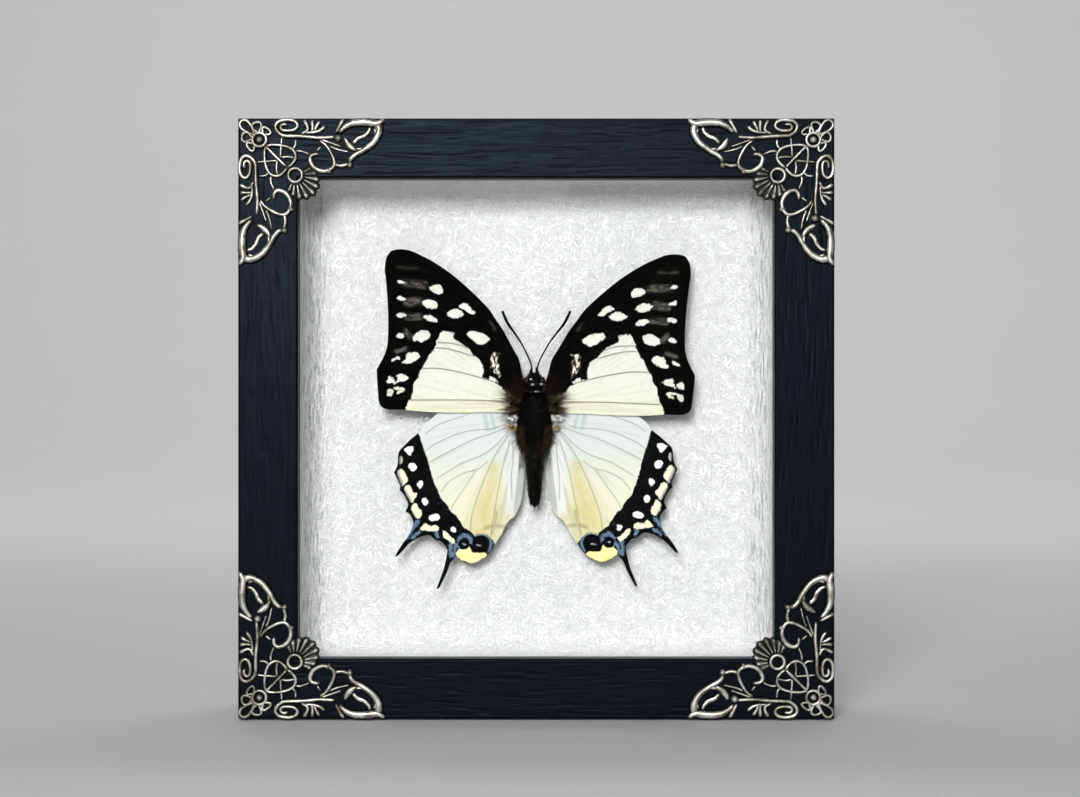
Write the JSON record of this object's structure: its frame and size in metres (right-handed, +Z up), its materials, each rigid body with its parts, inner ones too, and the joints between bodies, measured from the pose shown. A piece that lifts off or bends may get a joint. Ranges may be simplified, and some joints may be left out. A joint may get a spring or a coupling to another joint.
{
  "type": "framed butterfly specimen",
  "caption": "Square black wooden shadow box with openwork silver corners and a black and cream two-tailed butterfly spread on white fibre paper behind glass.",
  "frame": {"origin": "on the standing surface under the middle of the box, centred in width and in overall depth", "axes": "+Z up the frame and the butterfly's body, -Y out through the glass towards the viewer, +X to the viewer's right"},
  "size_m": [0.152, 0.0346, 0.153],
  "materials": {
    "stained_wood": "black satin stain over open-pored wood",
    "clear_glass": "clear flat pane",
    "fibre_paper": "white handmade paper with embedded long fibres",
    "hardboard": "black matte hardboard",
    "steel": "bright plated steel",
    "antique_silver": "antique silver, bright crests and blackened recesses",
    "wing_scales": "satin wing scales, cream fields and near-black borders with white spots",
    "insect_body": "near-black chitin under fine brown hair",
    "foam": "white closed-cell foam"
  },
  "bodies": {
    "root": {"rail_top": "stained_wood", "rail_bottom": "stained_wood", "rail_left": "stained_wood", "rail_right": "stained_wood", "glass_pane": "clear_glass", "paper_tray": "fibre_paper", "back_board": "hardboard", "back_tab_top": "steel", "back_tab_right": "steel", "back_tab_bottom": "steel", "back_tab_left": "steel", "sawtooth_hanger": "steel", "hanger_nail_left": "steel", "hanger_nail_right": "steel", "corner_top_left": "antique_silver", "corner_top_right": "antique_silver", "corner_bottom_right": "antique_silver", "corner_bottom_left": "antique_silver", "forewing_left": "wing_scales", "forewing_right": "wing_scales", "hindwing_left": "wing_scales", "hindwing_right": "wing_scales", "antenna_left": "insect_body", "antenna_right": "insect_body", "head": "insect_body", "thorax": "insect_body", "abdomen": "insect_body", "thorax_pad": "foam"}
  },
  "joints": []
}
